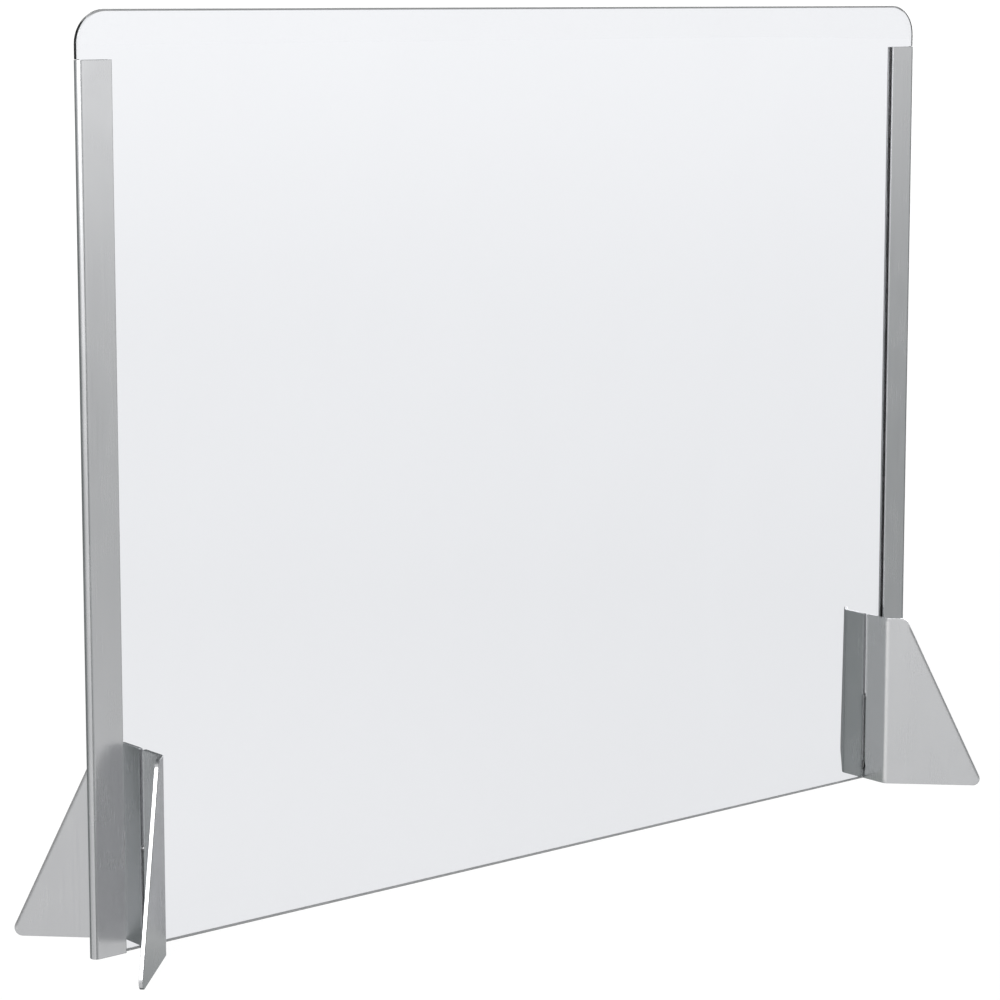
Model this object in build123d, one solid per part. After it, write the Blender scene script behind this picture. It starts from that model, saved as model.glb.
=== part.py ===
from build123d import *
import math
import os

# Free-standing desk privacy panel: a clear acrylic sheet, a folded channel post taped over each
# side edge, and two folded sheet feet that slot into the sheet from below.
# Millimetres. The origin is on the desk under the middle of the sheet: +X runs along the sheet,
# +Y goes back through its thickness and +Z goes up.

# Acrylic sheet
PANEL_WIDTH = 762.0
PANEL_HEIGHT = 610.0
PANEL_THICKNESS = 4.5
PANEL_CORNER_RADIUS = 22.0
PANEL_EDGE_ROUNDING = 1.5

# Channel posts, folded from one gauge of sheet
POST_SHEET = 1.5
POST_FLANGE = 24.5
POST_BEND_INNER_RADIUS = 2.0
POST_BELOW_PANEL_TOP = 31.5
POST_EDGE_ROUNDING = 0.3

# Bonding tape between the sheet and each flange
TAPE_THICKNESS = 0.25
TAPE_WIDTH = 19.0
TAPE_INSET = 1.2
TAPE_END_INSET = 1.5

# The sheet stands clear of the channel's web and of the channel's top
WEB_GAP = 0.5
SHOULDER_GAP = 0.3

# Folded feet: a cross plate with a wing flared outwards at each end
FOOT_SHEET = 2.7
FOOT_HEIGHT = 133.0
FOOT_FROM_PANEL_EDGE = 41.0
FOOT_HALF_DEPTH = 23.3
FOOT_BEND_INNER_RADIUS = 2.5
FOOT_EDGE_ROUNDING = 0.3
WING_FLARE = 45.0
WING_LENGTH = 77.5
WING_TOP_LENGTH = 15.0
WING_TIP_RADIUS = 5.5
WING_TOP_RADIUS = 8.0

# Halving joint between the sheet and a foot: each is slotted to about half of the foot's height
JOINT_HEIGHT = FOOT_HEIGHT / 2
JOINT_END_GAP = 1.0
FOOT_SLOT_CLEARANCE = 0.1
PANEL_SLOT_CLEARANCE = 0.2
SLOT_MOUTH_RADIUS = 1.5
FOOT_SLOT_END_RADIUS = 1.0

# Hanging hole in the cross plate, on the sheet's centre plane
FOOT_HOLE_DIAMETER = 6.5
FOOT_HOLE_HEIGHT = 10.6

# Worked-out sizes
POST_HEIGHT = PANEL_HEIGHT - POST_BELOW_PANEL_TOP
CHANNEL_GAP = PANEL_THICKNESS + 2 * TAPE_THICKNESS
FOOT_X = PANEL_WIDTH / 2 - FOOT_FROM_PANEL_EDGE
FOOT_SLOT_WIDTH = PANEL_THICKNESS + 2 * FOOT_SLOT_CLEARANCE
PANEL_SLOT_WIDTH = FOOT_SHEET + 2 * PANEL_SLOT_CLEARANCE
PAST_THE_PART = 20.0


def upright_slab(outline, thickness):
    """A slab of the outline, drawn with X across and Y up, standing on the XZ plane."""
    return extrude(Plane.XZ * outline, amount=thickness / 2, both=True)


def acrylic_panel():
    """Clear sheet: rounded top corners, sides stepped in behind the posts, a slot over each foot."""
    half_top = PANEL_WIDTH / 2
    half_low = half_top - POST_SHEET - WEB_GAP
    shoulder = POST_HEIGHT + SHOULDER_GAP
    outline = make_face(Polyline(
        (-half_low, 0),
        (half_low, 0),
        (half_low, shoulder),
        (half_top, shoulder),
        (half_top, PANEL_HEIGHT),
        (-half_top, PANEL_HEIGHT),
        (-half_top, shoulder),
        (-half_low, shoulder),
        close=True,
    ))
    outline = fillet(outline.vertices().group_by(Axis.Y)[-1], PANEL_CORNER_RADIUS)
    slot_top = JOINT_HEIGHT + JOINT_END_GAP
    for side in (-1, 1):
        slot = Pos(side * FOOT_X, 0) * Rectangle(PANEL_SLOT_WIDTH, 2 * (slot_top - PANEL_SLOT_WIDTH / 2))
        slot_end = Pos(side * FOOT_X, slot_top - PANEL_SLOT_WIDTH / 2) * Circle(PANEL_SLOT_WIDTH / 2)
        outline = outline - slot - slot_end
    sheet = upright_slab(outline, PANEL_THICKNESS)
    face_edges = sheet.faces().filter_by(Axis.Y).edges()
    long_edges = [edge for edge in face_edges if edge.length > PANEL_SLOT_WIDTH * 3]
    return fillet(long_edges, PANEL_EDGE_ROUNDING)


def channel_post():
    """Left post: a U channel over the sheet's edge, open towards the middle of the sheet."""
    web_x = -PANEL_WIDTH / 2 + POST_SHEET / 2
    flange_end_x = -PANEL_WIDTH / 2 + POST_FLANGE
    flange_y = CHANNEL_GAP / 2 + POST_SHEET / 2
    middle_line = FilletPolyline(
        (flange_end_x, -flange_y),
        (web_x, -flange_y),
        (web_x, flange_y),
        (flange_end_x, flange_y),
        radius=POST_BEND_INNER_RADIUS + POST_SHEET / 2,
    )
    channel = extrude(trace(middle_line, POST_SHEET), POST_HEIGHT)
    flange_ends = channel.faces().filter_by(Axis.X).sort_by(Axis.X)[-2:]
    return fillet(flange_ends.edges().filter_by(Axis.Z), POST_EDGE_ROUNDING)


def bonding_tape(face_side):
    """Tape strip in the left post, on the sheet's front (-1) or rear (+1) face."""
    height = POST_HEIGHT - 2 * TAPE_END_INSET
    centre_x = -PANEL_WIDTH / 2 + POST_FLANGE - TAPE_INSET - TAPE_WIDTH / 2
    centre_y = face_side * (PANEL_THICKNESS + TAPE_THICKNESS) / 2
    return Pos(centre_x, centre_y, POST_HEIGHT / 2) * Box(TAPE_WIDTH, TAPE_THICKNESS, height)


def foot_blank():
    """Left foot before slotting: cross plate and two wings, folded from one strip of sheet."""
    flare = math.radians(WING_FLARE)
    tip_x = -FOOT_X - WING_LENGTH * math.sin(flare)
    tip_y = FOOT_HALF_DEPTH + WING_LENGTH * math.cos(flare)
    middle_line = FilletPolyline(
        (tip_x, -tip_y),
        (-FOOT_X, -FOOT_HALF_DEPTH),
        (-FOOT_X, FOOT_HALF_DEPTH),
        (tip_x, tip_y),
        radius=FOOT_BEND_INNER_RADIUS + FOOT_SHEET / 2,
    )
    return extrude(trace(middle_line, FOOT_SHEET), FOOT_HEIGHT)


def wing_outline():
    """Side shape of a wing, from behind its fold line (X = 0) to its tip, with the floor at Y = 0."""
    shape = make_face(Polyline(
        (-2 * FOOT_HALF_DEPTH, 0),
        (WING_LENGTH, 0),
        (WING_TOP_LENGTH, FOOT_HEIGHT),
        (-2 * FOOT_HALF_DEPTH, FOOT_HEIGHT),
        close=True,
    ))
    tip = shape.vertices().sort_by(Axis.X)[-1]
    shape = fillet(tip, WING_TIP_RADIUS)
    top_corner = shape.vertices().group_by(Axis.Y)[-1].sort_by(Axis.X)[-1]
    return fillet(top_corner, WING_TOP_RADIUS)


def rim_edges(foot):
    """Edges where a foot's cut rim meets the two broad faces of the sheet."""
    broad_faces = [face for face in foot.faces() if face.area > FOOT_HEIGHT * FOOT_SHEET * 2]
    rims = []
    for face in broad_faces:
        for edge in face.edges():
            upright_bend = abs(edge.tangent_at(0.5).Z) > 0.999 and edge.length > FOOT_HEIGHT * 0.9
            if not upright_bend:
                rims.append(edge)
    return rims


def folded_foot():
    """Left foot: sloping wings front and back, a slot from the top for the sheet, a hanging hole."""
    front_half_space = Pos(-FOOT_X, -PANEL_WIDTH / 2, FOOT_HEIGHT / 2) * Box(
        PANEL_WIDTH / 2, PANEL_WIDTH, FOOT_HEIGHT)
    flare = math.radians(WING_FLARE)
    wing_plane = Plane(
        origin=(-FOOT_X, -FOOT_HALF_DEPTH, 0),
        x_dir=(-math.sin(flare), -math.cos(flare), 0),
        z_dir=(-math.cos(flare), math.sin(flare), 0),
    )
    wing_prism = extrude(wing_plane * wing_outline(), amount=2 * FOOT_HALF_DEPTH, both=True)
    front_half = foot_blank() & front_half_space & wing_prism
    foot = front_half + mirror(front_half, about=Plane.XZ)

    slot_bottom = JOINT_HEIGHT - JOINT_END_GAP
    slot_height = FOOT_HEIGHT - slot_bottom
    slot = Pos(0, slot_bottom + slot_height / 2 + PAST_THE_PART / 2) * Rectangle(
        FOOT_SLOT_WIDTH, slot_height + PAST_THE_PART)
    slot = fillet(slot.vertices().group_by(Axis.Y)[0], FOOT_SLOT_END_RADIUS)
    hole = Pos(0, FOOT_HOLE_HEIGHT) * Circle(FOOT_HOLE_DIAMETER / 2)
    cutter = extrude(Plane.YZ * (slot + hole), amount=FOOT_SHEET, both=True)
    foot = foot - Pos(-FOOT_X, 0, 0) * cutter

    through_plate = foot.edges().filter_by(Axis.X)
    foot = fillet(through_plate.group_by(Axis.Z)[-1], SLOT_MOUTH_RADIUS)
    return fillet(rim_edges(foot), FOOT_EDGE_ROUNDING)


os.makedirs("parts", exist_ok=True)

left_side = {
    "post": channel_post(),
    "front_tape": bonding_tape(-1),
    "rear_tape": bonding_tape(1),
    "foot": folded_foot(),
}

export_step(acrylic_panel(), "parts/acrylic_panel.step")
for name, piece in left_side.items():
    export_step(piece, f"parts/left_{name}.step")
    export_step(mirror(piece, about=Plane.YZ), f"parts/right_{name}.step")
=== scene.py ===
import math

import bpy
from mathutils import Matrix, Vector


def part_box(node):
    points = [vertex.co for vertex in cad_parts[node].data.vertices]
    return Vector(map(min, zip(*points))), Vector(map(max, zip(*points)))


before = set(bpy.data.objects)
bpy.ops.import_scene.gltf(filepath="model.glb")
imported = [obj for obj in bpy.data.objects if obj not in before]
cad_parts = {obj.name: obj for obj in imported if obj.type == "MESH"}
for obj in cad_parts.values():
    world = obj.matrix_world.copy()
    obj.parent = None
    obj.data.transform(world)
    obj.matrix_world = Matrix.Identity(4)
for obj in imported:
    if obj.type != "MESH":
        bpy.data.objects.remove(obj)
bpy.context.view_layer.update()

# Looks for the desk privacy panel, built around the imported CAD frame.
# Metres. The origin is on the desk under the middle of the sheet: +X along the sheet, +Y back, +Z up.

# Camera, at the photograph's viewing angle
CAMERA_PLACE = (-1.3973, -1.6335, 0.6193)
CAMERA_HEADING = 39.79
CAMERA_PITCH = 7.60
LENS = 109.6
SENSOR = 36.0
FRAME_SHIFT = -0.1
FARTHEST_SEEN = 100.0

# Softboxes: name, place, target, width, height and radiance
SOFTBOXES = (
    ("key_light", (-1.65, -1.33, 1.55), (0, 0, 0.1), 1.2, 0.9, 5.0),
    ("side_light", (-2.2, -0.55, 0.95), (0, -0.3, 0.3), 1.0, 1.2, 1.7),
    ("top_light", (0.3, 1.6, 2.0), (0, 0, 0.2), 2.0, 1.2, 1.5),
)

# White surroundings, as seen directly and through the clear sheet
FLOOR_GLOW = 0.975
FLOOR_PAINT = 0.06
NEAR_FLOOR = 1.0
FAR_WHITE = 1.11
WHITENING_DISTANCE = 3.0
FLOOR_RADIUS = 30.0
SKY_WHITE = 1.084

# Studio cards, as seen in reflections: azimuth in degrees (0 is the back, 90 the right) and brightness
STUDIO_CARDS = (
    (-180, 0.58),
    (-166, 0.40),
    (-155, 0.08),
    (-142, 0.94),
    (-120, 0.76),
    (-90, 0.74),
    (-68, 0.60),
    (-48, 0.34),
    (-31, 0.18),
    (0, 0.26),
    (30, 0.12),
    (36, 0.14),
    (44, 0.70),
    (52, 1.05),
    (66, 1.05),
    (78, 0.55),
    (92, 0.12),
    (112, 0.15),
    (131, 0.44),
    (149, 0.61),
    (180, 0.58),
)
HORIZON_GAIN = 2.1
HORIZON_START = -0.115
HORIZON_FADE = (0.21, 0.32)
# Low cards that dim or brighten the ring: four angles across, two heights, and the share added.
LOW_CARDS = (
    ((15, 40, 85, 110), (-0.301, -0.286), -0.66),
    ((134, 143, 156, 166), (-0.27, -0.17), 0.42),
    ((-66, -58, -43, -37), (-0.29, -0.262), 1.4),
)
# Dark cards lean to green: the brightness at which the lean is full, and at which it has gone
GREEN_LEAN = (0.15, 0.75)
GREEN_CAST = (0.93, 1.0, 0.995)
# The floor's brightness where it is seen in a reflection through the clear sheet
EDGE_VIEW_GREY = 0.68

# Steel: colours and roughness across the grain, and the wear on it; its lighter edges are partly wear and
# partly a painted highlight
STEEL_COLOURS = ((0.602, 0.607, 0.620), (0.636, 0.641, 0.653))
STEEL_ROUGHNESS = (0.22, 0.27)
SMUDGE_ROUGHNESS = (-0.02, 0.03)
BURNISHING = 0.08
GRAIN_BUMP = 0.13
WEAR_AND_HIGHLIGHT_RADIUS = 0.0006
WORN_EDGE_AND_HIGHLIGHT = (0.80, 0.805, 0.81)
# Painted light on the feet only: painted shade on the plates, a painted highlight along each fold and a
# painted dark reflection on the sloping rims. The fold and the sloping rim are found from a widely rounded
# normal.
PLATE_PAINTED_SHADE = (0.862, 0.880, 0.864)
WIDE_RADIUS = 0.004
FOLD_PAINTED_HIGHLIGHT = (0.84, 0.845, 0.85)
RIM_PAINTED_REFLECTION = (0.22, 0.223, 0.227)
RIM_TOP_GAPS = (0.010, 0.004)

# Cut walls in a foot's plate: the slot for the sheet is darker, and the small hole under it gets painted
# shade, as do the sheet's slot walls beside it
SLOT_HALF_WIDTH = 0.0026
HOLE_HEIGHT = 0.0106
HOLE_RADIUS = 0.0034
CUT_MARGIN = 0.001
DARKER_SLOT_WALL = (0.33, 0.334, 0.338)
CUT_PAINTED_SHADE = (0.03, 0.03, 0.032)

# Acrylic: tints of the faces and of the slot walls, and painted shade on the sides and on the bottom and
# top edges
ACRYLIC_IOR = 1.49
ACRYLIC_TINTS = ((0.804, 0.813, 0.837), (0.821, 0.831, 0.855))
SIDE_EDGE_PAINTED_SHADE = (0.24, 0.25, 0.26)
SLOT_WALL_TINT = (0.60, 0.61, 0.62)
BOTTOM_EDGE_PAINTED_SHADE = (0.40, 0.405, 0.41)
TOP_EDGE_PAINTED_SHADE = (0.23, 0.233, 0.237)
MATTE_LOSS = 0.75
SCRATCH_DEPTH = 0.15

# Tape: its darkest and lightest patches
TAPE_COLOURS = ((0.190, 0.192, 0.195), (0.480, 0.484, 0.488))


def new_material(name):
    material = bpy.data.materials.new(name)
    material.use_nodes = True
    tree = material.node_tree
    tree.nodes.clear()
    return material, tree


def add_node(tree, kind, **settings):
    node = tree.nodes.new(kind)
    for key, value in settings.items():
        setattr(node, key, value)
    return node


def separate(tree, vector):
    """The X, Y and Z outputs of a vector."""
    split = add_node(tree, "ShaderNodeSeparateXYZ")
    tree.links.new(vector, split.inputs["Vector"])
    return split.outputs


def math_node(tree, operation, first, second=None, clamp=False):
    """A Math node; each input is a number or an output socket."""
    node = add_node(tree, "ShaderNodeMath", operation=operation, use_clamp=clamp)
    for index, value in enumerate((first, second)):
        if value is None:
            continue
        if isinstance(value, (int, float)):
            node.inputs[index].default_value = value
        else:
            tree.links.new(value, node.inputs[index])
    return node.outputs[0]


def ramp_range(tree, value, low, high, to_low, to_high, smooth=True):
    """Maps value from low..high to to_low..to_high, held beyond the ends."""
    node = add_node(tree, "ShaderNodeMapRange", clamp=True)
    node.interpolation_type = "SMOOTHSTEP" if smooth else "LINEAR"
    tree.links.new(value, node.inputs["Value"])
    for label, number in (("From Min", low), ("From Max", high), ("To Min", to_low), ("To Max", to_high)):
        node.inputs[label].default_value = number
    return node.outputs["Result"]


def between(tree, value, start, full, fade, end):
    """0 below start, 1 from full to fade, and 0 above end."""
    return math_node(tree, "MULTIPLY", ramp_range(tree, value, start, full, 0.0, 1.0),
                     ramp_range(tree, value, fade, end, 1.0, 0.0))


def stretched_noise(tree, coords, scale, detail=2.0, roughness=0.5, distortion=0.0):
    """Noise whose features are 1/scale metres long along each axis."""
    mapping = add_node(tree, "ShaderNodeMapping")
    mapping.inputs["Scale"].default_value = scale
    noise = add_node(tree, "ShaderNodeTexNoise")
    noise.inputs["Scale"].default_value = 1.0
    noise.inputs["Detail"].default_value = detail
    noise.inputs["Roughness"].default_value = roughness
    noise.inputs["Distortion"].default_value = distortion
    tree.links.new(coords, mapping.inputs["Vector"])
    tree.links.new(mapping.outputs["Vector"], noise.inputs["Vector"])
    return noise.outputs["Fac"]


def colour_between(tree, factor, low, high):
    """A colour from low to high by factor."""
    ramp = add_node(tree, "ShaderNodeValToRGB")
    ramp.color_ramp.elements[0].color = (*low, 1)
    ramp.color_ramp.elements[1].color = (*high, 1)
    tree.links.new(factor, ramp.inputs["Fac"])
    return ramp.outputs["Color"]


def colour_mix(tree, factor, first, second, blend="MIX"):
    """first where factor is 0, blended with second where it is 1; first is a socket and second a colour."""
    mix = add_node(tree, "ShaderNodeMix", data_type="RGBA", blend_type=blend)
    tree.links.new(factor, mix.inputs["Factor"])
    tree.links.new(first, mix.inputs[6])
    mix.inputs[7].default_value = (*second, 1)
    return mix.outputs[2]


def bumped_normal(tree, height, strength, distance, normal=None):
    """A normal that carries the relief in height."""
    bump = add_node(tree, "ShaderNodeBump")
    bump.inputs["Strength"].default_value = strength
    bump.inputs["Distance"].default_value = distance
    tree.links.new(height, bump.inputs["Height"])
    if normal is not None:
        tree.links.new(normal, bump.inputs["Normal"])
    return bump.outputs["Normal"]


def show(tree, kind, shader):
    """Links a shader to a new output node."""
    tree.links.new(shader, add_node(tree, kind).inputs["Surface"])


def true_normal(tree):
    return add_node(tree, "ShaderNodeNewGeometry").outputs["True Normal"]


def rounded_normal(tree, radius):
    """The normal with every edge rounded to radius."""
    bevel = add_node(tree, "ShaderNodeBevel", samples=6)
    bevel.inputs["Radius"].default_value = radius
    return bevel.outputs["Normal"]


def edge_mask(tree, normal):
    """1 at an edge and 0 on the flat, from how far the rounded normal turns."""
    dot = add_node(tree, "ShaderNodeVectorMath", operation="DOT_PRODUCT")
    tree.links.new(normal, dot.inputs[0])
    tree.links.new(true_normal(tree), dot.inputs[1])
    return ramp_range(tree, dot.outputs["Value"], 0.80, 0.995, 1.0, 0.0)


def in_slot(tree, place, margin, slot_bottom):
    """1 in a foot's slot or within margin of it."""
    off_centre = math_node(tree, "ABSOLUTE", place["Y"])
    narrow = math_node(tree, "LESS_THAN", off_centre, SLOT_HALF_WIDTH + margin)
    high = math_node(tree, "GREATER_THAN", place["Z"], slot_bottom - margin)
    return math_node(tree, "MULTIPLY", narrow, high)


def in_hole(tree, place, margin):
    """1 in a foot's hole, whose axis lies along X, or within margin of it."""
    rise = math_node(tree, "SUBTRACT", place["Z"], HOLE_HEIGHT)
    square = math_node(tree, "ADD", math_node(tree, "MULTIPLY", rise, rise),
                       math_node(tree, "MULTIPLY", place["Y"], place["Y"]))
    return math_node(tree, "LESS_THAN", square, (HOLE_RADIUS + margin) ** 2)


def foot_painted_light_masks(tree, place, foot_top):
    """Masks for a foot's plate, its folds and the sloping rims of its wings, where painted shade, a painted
    highlight and a painted dark reflection go.
    """
    lean = separate(tree, rounded_normal(tree, WIDE_RADIUS))
    face = separate(tree, true_normal(tree))
    plate = ramp_range(tree, math_node(tree, "ABSOLUTE", face["X"]), 0.93, 0.97, 0.0, 1.0)

    fold = math_node(tree, "MULTIPLY",
                     between(tree, math_node(tree, "ABSOLUTE", lean["X"]), 0.76, 0.84, 0.94, 0.985),
                     ramp_range(tree, math_node(tree, "ABSOLUTE", lean["Z"]), 0.01, 0.03, 1.0, 0.0))

    slope_rim = math_node(tree, "MULTIPLY", ramp_range(tree, lean["Z"], 0.095, 0.14, 0.0, 1.0),
                          ramp_range(tree, face["Z"], 0.30, 0.40, 1.0, 0.0))
    fade, end = [foot_top - gap for gap in RIM_TOP_GAPS]
    slope_rim = math_node(tree, "MULTIPLY", slope_rim, ramp_range(tree, place["Z"], fade, end, 1.0, 0.0))
    return plate, fold, slope_rim


def brushed_steel(name, foot_top=None):
    """Stainless sheet with a fine upright grain, handling marks and burnished edges, lighter partly from
    wear and partly from a painted highlight.

    With foot_top it is a foot's steel, which adds the foot's painted shade, painted highlight and painted
    dark reflection, and its cut walls.
    """
    material, tree = new_material(name)
    coords = add_node(tree, "ShaderNodeTexCoord").outputs["Object"]
    fine = stretched_noise(tree, coords, (3200, 3200, 28), detail=3.0, roughness=0.6)
    coarse = stretched_noise(tree, coords, (650, 650, 7), detail=2.0)
    smudge = stretched_noise(tree, coords, (38, 38, 24), detail=3.0, distortion=0.4)
    grain = math_node(tree, "ADD", math_node(tree, "MULTIPLY", fine, 0.65),
                      math_node(tree, "MULTIPLY", coarse, 0.35))
    soft_normal = rounded_normal(tree, WEAR_AND_HIGHLIGHT_RADIUS)
    edge = edge_mask(tree, soft_normal)
    colour = colour_between(tree, ramp_range(tree, grain, 0.3, 0.7, 0, 1, False), *STEEL_COLOURS)
    if foot_top is None:
        # Lighter edges: partly wear, partly a painted highlight.
        colour = colour_mix(tree, edge, colour, WORN_EDGE_AND_HIGHLIGHT)
    else:
        slot_bottom = foot_top / 2
        place = separate(tree, coords)
        without_wear_and_highlight = math_node(tree, "MAXIMUM", in_slot(tree, place, CUT_MARGIN, slot_bottom),
                           in_hole(tree, place, CUT_MARGIN))
        edge = math_node(tree, "SUBTRACT", edge, without_wear_and_highlight, clamp=True)
        plate, fold, slope_rim = foot_painted_light_masks(tree, place, foot_top)
        # Painted shade on the plates.
        colour = colour_mix(tree, plate, colour, PLATE_PAINTED_SHADE, "MULTIPLY")
        # Lighter edges (partly wear, partly a painted highlight), a painted highlight along the folds, a
        # painted dark reflection on the sloping rims, darker slot walls and painted shade in the hole.
        for mask, overlay_colour in (
            (edge, WORN_EDGE_AND_HIGHLIGHT),
            (fold, FOLD_PAINTED_HIGHLIGHT),
            (slope_rim, RIM_PAINTED_REFLECTION),
            (in_slot(tree, place, 0.0, slot_bottom), DARKER_SLOT_WALL),
            (in_hole(tree, place, 0.0), CUT_PAINTED_SHADE),
        ):
            colour = colour_mix(tree, mask, colour, overlay_colour)

    shader = add_node(tree, "ShaderNodeBsdfPrincipled")
    shader.inputs["Metallic"].default_value = 1.0
    shader.inputs["Anisotropic"].default_value = 0.5
    shader.inputs["Anisotropic Rotation"].default_value = 0.25
    tangent = add_node(tree, "ShaderNodeCombineXYZ")
    tangent.inputs["Z"].default_value = 1.0
    tree.links.new(tangent.outputs["Vector"], shader.inputs["Tangent"])
    tree.links.new(colour, shader.inputs["Base Color"])

    rough = math_node(tree, "ADD", ramp_range(tree, grain, 0.3, 0.7, *STEEL_ROUGHNESS, False),
                      ramp_range(tree, smudge, 0.35, 0.7, *SMUDGE_ROUGHNESS))
    rough = math_node(tree, "SUBTRACT", rough, math_node(tree, "MULTIPLY", edge, BURNISHING))
    tree.links.new(rough, shader.inputs["Roughness"])
    tree.links.new(bumped_normal(tree, grain, GRAIN_BUMP, 0.00001, soft_normal), shader.inputs["Normal"])
    show(tree, "ShaderNodeOutputMaterial", shader.outputs["BSDF"])
    return material


def clear_acrylic(outer_x, high_z):
    """Clear cast sheet, faintly cool: polished sides beyond outer_x, matte slots, bottom and top edges,
    with painted shade on the sides, bottom and top edges for the darker surroundings seen through them.
    """
    material, tree = new_material("clear_acrylic_and_painted_edge_shade")
    coords = add_node(tree, "ShaderNodeTexCoord").outputs["Object"]
    wipe = stretched_noise(tree, coords, (9, 9, 5), detail=4.0, roughness=0.6, distortion=1.2)
    hairline = stretched_noise(tree, coords, (60, 60, 1400), detail=2.0, distortion=0.3)
    tool_mark = stretched_noise(tree, coords, (900, 220, 900), detail=2.0)

    normal = separate(tree, add_node(tree, "ShaderNodeNewGeometry").outputs["Normal"])
    across, facing, upward = [math_node(tree, "ABSOLUTE", normal[axis]) for axis in "XYZ"]
    rim = ramp_range(tree, facing, 0.2, 0.95, 1.0, 0.0)
    level = ramp_range(tree, math_node(tree, "SUBTRACT", upward, across), 0.02, 0.3, 0.0, 1.0)
    place = separate(tree, coords)
    outer = math_node(tree, "GREATER_THAN", math_node(tree, "ABSOLUTE", place["X"]), outer_x)
    side_rim = math_node(tree, "MULTIPLY", rim, outer)
    slot_wall = math_node(tree, "SUBTRACT", rim, outer, clamp=True)
    high = math_node(tree, "GREATER_THAN", place["Z"], high_z)
    matte = math_node(tree, "MAXIMUM", level, slot_wall)
    hole_low, hole_high = HOLE_HEIGHT - HOLE_RADIUS, HOLE_HEIGHT + HOLE_RADIUS
    beside_hole = between(tree, place["Z"], hole_low - CUT_MARGIN, hole_low,
                          hole_high, hole_high + CUT_MARGIN)

    shader = add_node(tree, "ShaderNodeBsdfPrincipled")
    shader.inputs["IOR"].default_value = ACRYLIC_IOR
    clear = math_node(tree, "SUBTRACT", 1.0, math_node(tree, "MULTIPLY", matte, MATTE_LOSS))
    tree.links.new(clear, shader.inputs["Transmission Weight"])
    tint_and_edge_shade = colour_between(tree, wipe, *ACRYLIC_TINTS)
    # The sides, the bottom and the top edges get painted shade for the darker surroundings seen through
    # them; the slot walls beside the foot's hole get painted shade.
    for mask, edge_colour in (
        (side_rim, SIDE_EDGE_PAINTED_SHADE),
        (slot_wall, SLOT_WALL_TINT),
        (math_node(tree, "MULTIPLY", slot_wall, beside_hole), CUT_PAINTED_SHADE),
        (level, BOTTOM_EDGE_PAINTED_SHADE),
        (math_node(tree, "MULTIPLY", level, high), TOP_EDGE_PAINTED_SHADE),
    ):
        tint_and_edge_shade = colour_mix(tree, mask, tint_and_edge_shade, edge_colour)
    tree.links.new(tint_and_edge_shade, shader.inputs["Base Color"])

    face_rough = ramp_range(tree, wipe, 0.45, 0.75, 0.0, 0.012)
    rim_rough = math_node(tree, "MULTIPLY", rim, ramp_range(tree, tool_mark, 0.3, 0.7, 0.08, 0.22))
    tree.links.new(math_node(tree, "ADD", face_rough, rim_rough), shader.inputs["Roughness"])
    scratches = math_node(tree, "MULTIPLY", hairline, SCRATCH_DEPTH)
    tree.links.new(bumped_normal(tree, scratches, 0.04, 0.00001), shader.inputs["Normal"])
    show(tree, "ShaderNodeOutputMaterial", shader.outputs["BSDF"])
    return material


def bonding_tape():
    """Mottled grey acrylic foam tape with an open-cell surface."""
    material, tree = new_material("bonding_tape_finish")
    coords = add_node(tree, "ShaderNodeTexCoord").outputs["Object"]
    cells = stretched_noise(tree, coords, (2400, 2400, 2400), detail=3.0, roughness=0.7)
    wetting = stretched_noise(tree, coords, (260, 260, 95), detail=2.0)
    shader = add_node(tree, "ShaderNodeBsdfPrincipled")
    patches = ramp_range(tree, wetting, 0.42, 0.62, 0.0, 1.0)
    tree.links.new(colour_between(tree, patches, *TAPE_COLOURS), shader.inputs["Base Color"])
    tree.links.new(ramp_range(tree, wetting, 0.3, 0.7, 0.55, 0.8), shader.inputs["Roughness"])
    tree.links.new(bumped_normal(tree, cells, 0.5, 0.00005), shader.inputs["Normal"])
    show(tree, "ShaderNodeOutputMaterial", shader.outputs["BSDF"])
    return material


def reflection_factor(tree):
    """1 on a path that has been reflected or scattered at least once, 0 on a direct or clear view."""
    path = add_node(tree, "ShaderNodeLightPath")
    bounces = math_node(tree, "ADD", path.outputs["Glossy Depth"], path.outputs["Diffuse Depth"])
    return math_node(tree, "GREATER_THAN", bounces, 0.5)


def pale_floor():
    """A plain white light table, a little whiter far off."""
    material, tree = new_material("pale_floor")
    length = add_node(tree, "ShaderNodeVectorMath", operation="LENGTH")
    tree.links.new(add_node(tree, "ShaderNodeNewGeometry").outputs["Position"], length.inputs[0])
    past_near = math_node(tree, "SUBTRACT", length.outputs["Value"], NEAR_FLOOR)
    beyond = math_node(tree, "MAXIMUM", past_near, 0.0)
    share = math_node(tree, "DIVIDE", beyond, math_node(tree, "ADD", beyond, WHITENING_DISTANCE))
    white = math_node(tree, "ADD", math_node(tree, "MULTIPLY", share, FAR_WHITE - 1.0), FLOOR_GLOW)

    glow = add_node(tree, "ShaderNodeEmission")
    tree.links.new(white, glow.inputs["Strength"])
    paint = add_node(tree, "ShaderNodeBsdfDiffuse")
    paint.inputs["Color"].default_value = (FLOOR_PAINT, FLOOR_PAINT, FLOOR_PAINT, 1)
    lit = add_node(tree, "ShaderNodeAddShader")
    tree.links.new(glow.outputs["Emission"], lit.inputs[0])
    tree.links.new(paint.outputs["BSDF"], lit.inputs[1])

    studio = add_node(tree, "ShaderNodeEmission")
    studio.inputs["Strength"].default_value = EDGE_VIEW_GREY

    choose = add_node(tree, "ShaderNodeMixShader")
    tree.links.new(reflection_factor(tree), choose.inputs["Fac"])
    tree.links.new(lit.outputs["Shader"], choose.inputs[1])
    tree.links.new(studio.outputs["Emission"], choose.inputs[2])
    show(tree, "ShaderNodeOutputMaterial", choose.outputs["Shader"])
    return material


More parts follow.
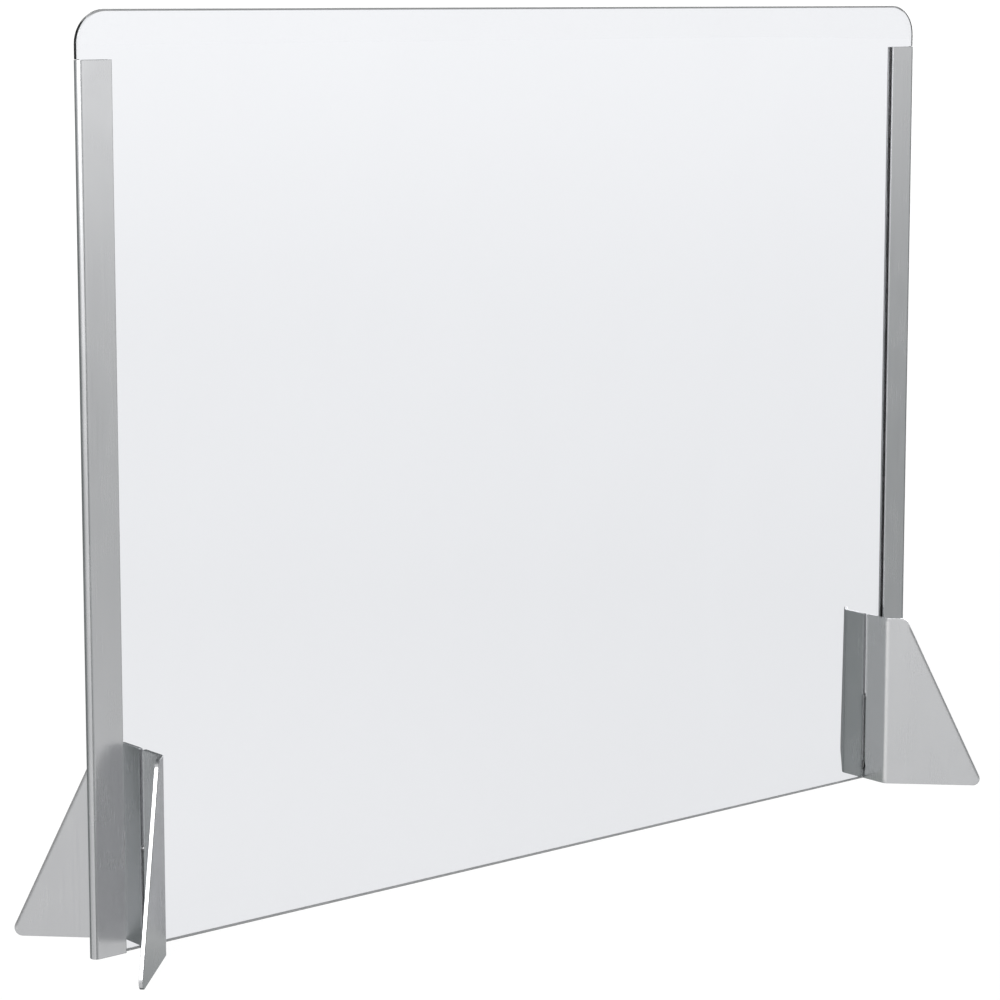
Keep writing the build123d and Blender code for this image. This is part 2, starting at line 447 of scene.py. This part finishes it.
def floor():
    points = [(FLOOR_RADIUS * x, FLOOR_RADIUS * y, 0.0) for x, y in ((-1, -1), (1, -1), (1, 1), (-1, 1))]
    mesh = bpy.data.meshes.new("floor")
    mesh.from_pydata(points, [], [(0, 1, 2, 3)])
    mesh.materials.append(pale_floor())
    plane = bpy.data.objects.new("floor", mesh)
    bpy.context.scene.collection.objects.link(plane)
    plane.visible_glossy = False


def turn_share(angle):
    """An azimuth in degrees as a share of the ring, from 0 to 1."""
    return angle / 360 + 0.5


def card_ring(tree, turn):
    """The studio cards' brightness at a share of the ring."""
    cards = add_node(tree, "ShaderNodeValToRGB")
    cards.color_ramp.interpolation = "EASE"
    stops = cards.color_ramp.elements
    while len(stops) < len(STUDIO_CARDS):
        stops.new(0.5)
    for stop, (angle, brightness) in zip(stops, STUDIO_CARDS):
        stop.position = turn_share(angle)
        stop.color = (brightness, brightness, brightness, 1)
    tree.links.new(turn, cards.inputs["Fac"])
    return cards.outputs["Color"]


def studio_world():
    """White all round for a clear view, and a ring of grey and white cards for reflections."""
    world = bpy.data.worlds.new("studio")
    bpy.context.scene.world = world
    world.use_nodes = True
    tree = world.node_tree
    tree.nodes.clear()
    direction = separate(tree, add_node(tree, "ShaderNodeTexCoord").outputs["Generated"])
    rise = direction["Z"]
    azimuth = math_node(tree, "ARCTAN2", direction["X"], direction["Y"])
    turn = math_node(tree, "ADD", math_node(tree, "DIVIDE", azimuth, 2 * math.pi), 0.5)
    cards = card_ring(tree, turn)
    horizon = math_node(tree, "MULTIPLY", ramp_range(tree, rise, HORIZON_START, 0.0, 0.0, HORIZON_GAIN),
                        ramp_range(tree, rise, *HORIZON_FADE, 1.0, 0.0))
    gain = math_node(tree, "ADD", math_node(tree, "MULTIPLY", cards, horizon), 1.0)
    grey = math_node(tree, "MULTIPLY", cards, gain)
    for angles, heights, share in LOW_CARDS:
        window = between(tree, turn, *[turn_share(angle) for angle in angles])
        added = math_node(tree, "MULTIPLY", window, ramp_range(tree, rise, *heights, share, 0.0))
        grey = math_node(tree, "MULTIPLY", grey, math_node(tree, "ADD", added, 1.0))

    reflected = reflection_factor(tree)
    strength = add_node(tree, "ShaderNodeMix", data_type="FLOAT")
    tree.links.new(reflected, strength.inputs["Factor"])
    strength.inputs[2].default_value = SKY_WHITE
    tree.links.new(grey, strength.inputs[3])
    lean = math_node(tree, "MULTIPLY", reflected, ramp_range(tree, grey, *GREEN_LEAN, 1.0, 0.0))
    background = add_node(tree, "ShaderNodeBackground")
    tree.links.new(colour_between(tree, lean, (1, 1, 1), GREEN_CAST), background.inputs["Color"])
    tree.links.new(strength.outputs[0], background.inputs["Strength"])
    show(tree, "ShaderNodeOutputWorld", background.outputs["Background"])


def aim(thing, place, target):
    """Puts a light at place with its -Z axis towards target."""
    thing.location = place
    away = [a - b for a, b in zip(place, target)]
    flat = math.hypot(away[0], away[1])
    thing.rotation_euler = (math.atan2(flat, away[2]), 0, math.atan2(away[1], away[0]) + math.pi / 2)


def softbox(name, place, target, width, height, radiance):
    """A rectangular soft light whose face has the given radiance, out of the camera's sight."""
    data = bpy.data.lights.new(name, "AREA")
    data.shape = "RECTANGLE"
    data.size = width
    data.size_y = height
    data.energy = radiance * math.pi * width * height
    light = bpy.data.objects.new(name, data)
    bpy.context.scene.collection.objects.link(light)
    aim(light, place, target)
    light.visible_camera = False
    light.visible_transmission = False


def camera():
    data = bpy.data.cameras.new("camera")
    data.lens = LENS
    data.sensor_width = SENSOR
    data.shift_y = FRAME_SHIFT
    data.clip_end = FARTHEST_SEEN
    viewer = bpy.data.objects.new("camera", data)
    bpy.context.scene.collection.objects.link(viewer)
    viewer.location = CAMERA_PLACE
    viewer.rotation_euler = (math.radians(90 - CAMERA_PITCH), 0, math.radians(-CAMERA_HEADING))
    bpy.context.scene.camera = viewer


def dress(node, material):
    """Gives a CAD node its finish."""
    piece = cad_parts[node]
    piece.data.materials.clear()
    piece.data.materials.append(material)


camera()
studio_world()
floor()
for box in SOFTBOXES:
    softbox(*box)

sheet_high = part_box("acrylic_panel")[1]
foot_low, foot_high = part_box("right_foot")

post_steel = brushed_steel("post_steel_and_edge_highlight")
foot_steel = brushed_steel("foot_steel_and_painted_light", foot_high.z)
acrylic = clear_acrylic((foot_low.x + sheet_high.x) / 2, sheet_high.z / 2)
tape = bonding_tape()
dress("acrylic_panel", acrylic)
for side in ("left", "right"):
    dress(f"{side}_post", post_steel)
    dress(f"{side}_foot", foot_steel)
    dress(f"{side}_front_tape", tape)
    dress(f"{side}_rear_tape", tape)

bpy.context.scene.view_settings.view_transform = "Standard"
